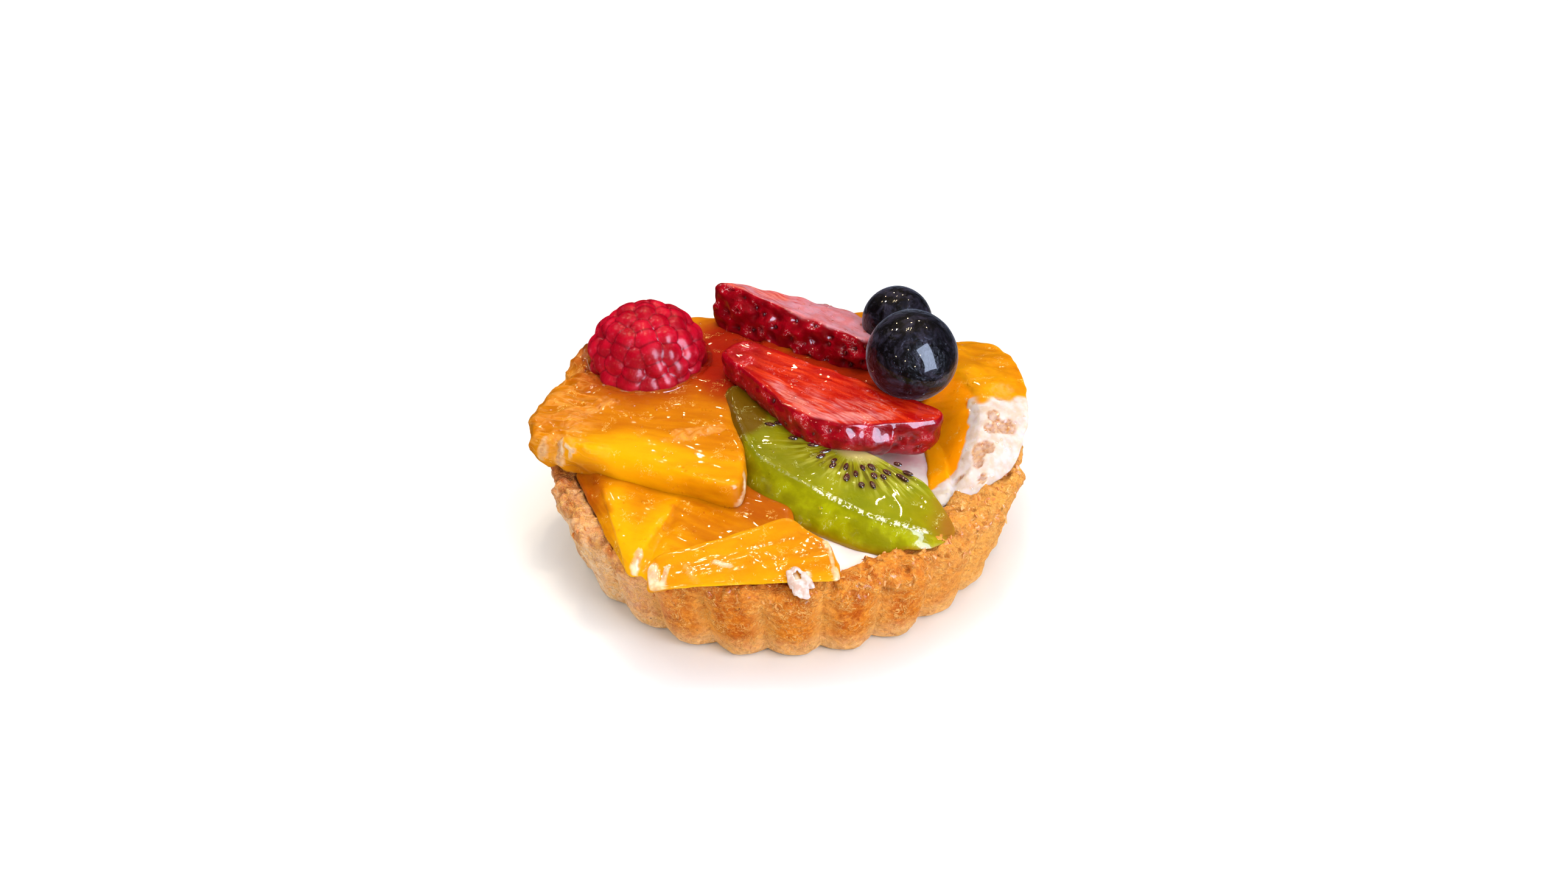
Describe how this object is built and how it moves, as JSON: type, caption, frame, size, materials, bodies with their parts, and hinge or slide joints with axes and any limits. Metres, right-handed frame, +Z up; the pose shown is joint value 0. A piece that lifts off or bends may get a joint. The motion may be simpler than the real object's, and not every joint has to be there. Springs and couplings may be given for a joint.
{
  "type": "fruit tart",
  "caption": "Small round fluted shortcrust tart filled with cream and topped with glazed orange, kiwi and strawberry slices, a raspberry and blueberries.",
  "frame": {"origin": "middle of the flat underside of the crust", "axes": "+Z up out of the flat underside of the crust, -Y towards the side that the cut faces of the fruit look to"},
  "size_m": [0.084, 0.0796, 0.0394],
  "materials": {
    "crust": "baked, matte and crumbly",
    "cream": "soft satin",
    "orange": "wet and glazed",
    "kiwi": "wet and glazed",
    "strawberry": "wet and glazed",
    "raspberry": "glazed",
    "blueberry": "glazed"
  },
  "bodies": {
    "root": {"crust": "crust", "cream": "cream", "orange_front": "orange", "orange_front_left": "orange", "orange_left": "orange", "orange_back_left": "orange", "orange_back": "orange", "orange_right": "orange", "kiwi": "kiwi", "strawberry_front": "strawberry", "strawberry_back": "strawberry", "raspberry": "raspberry", "blueberry_front": "blueberry", "blueberry_back": "blueberry"}
  },
  "joints": []
}
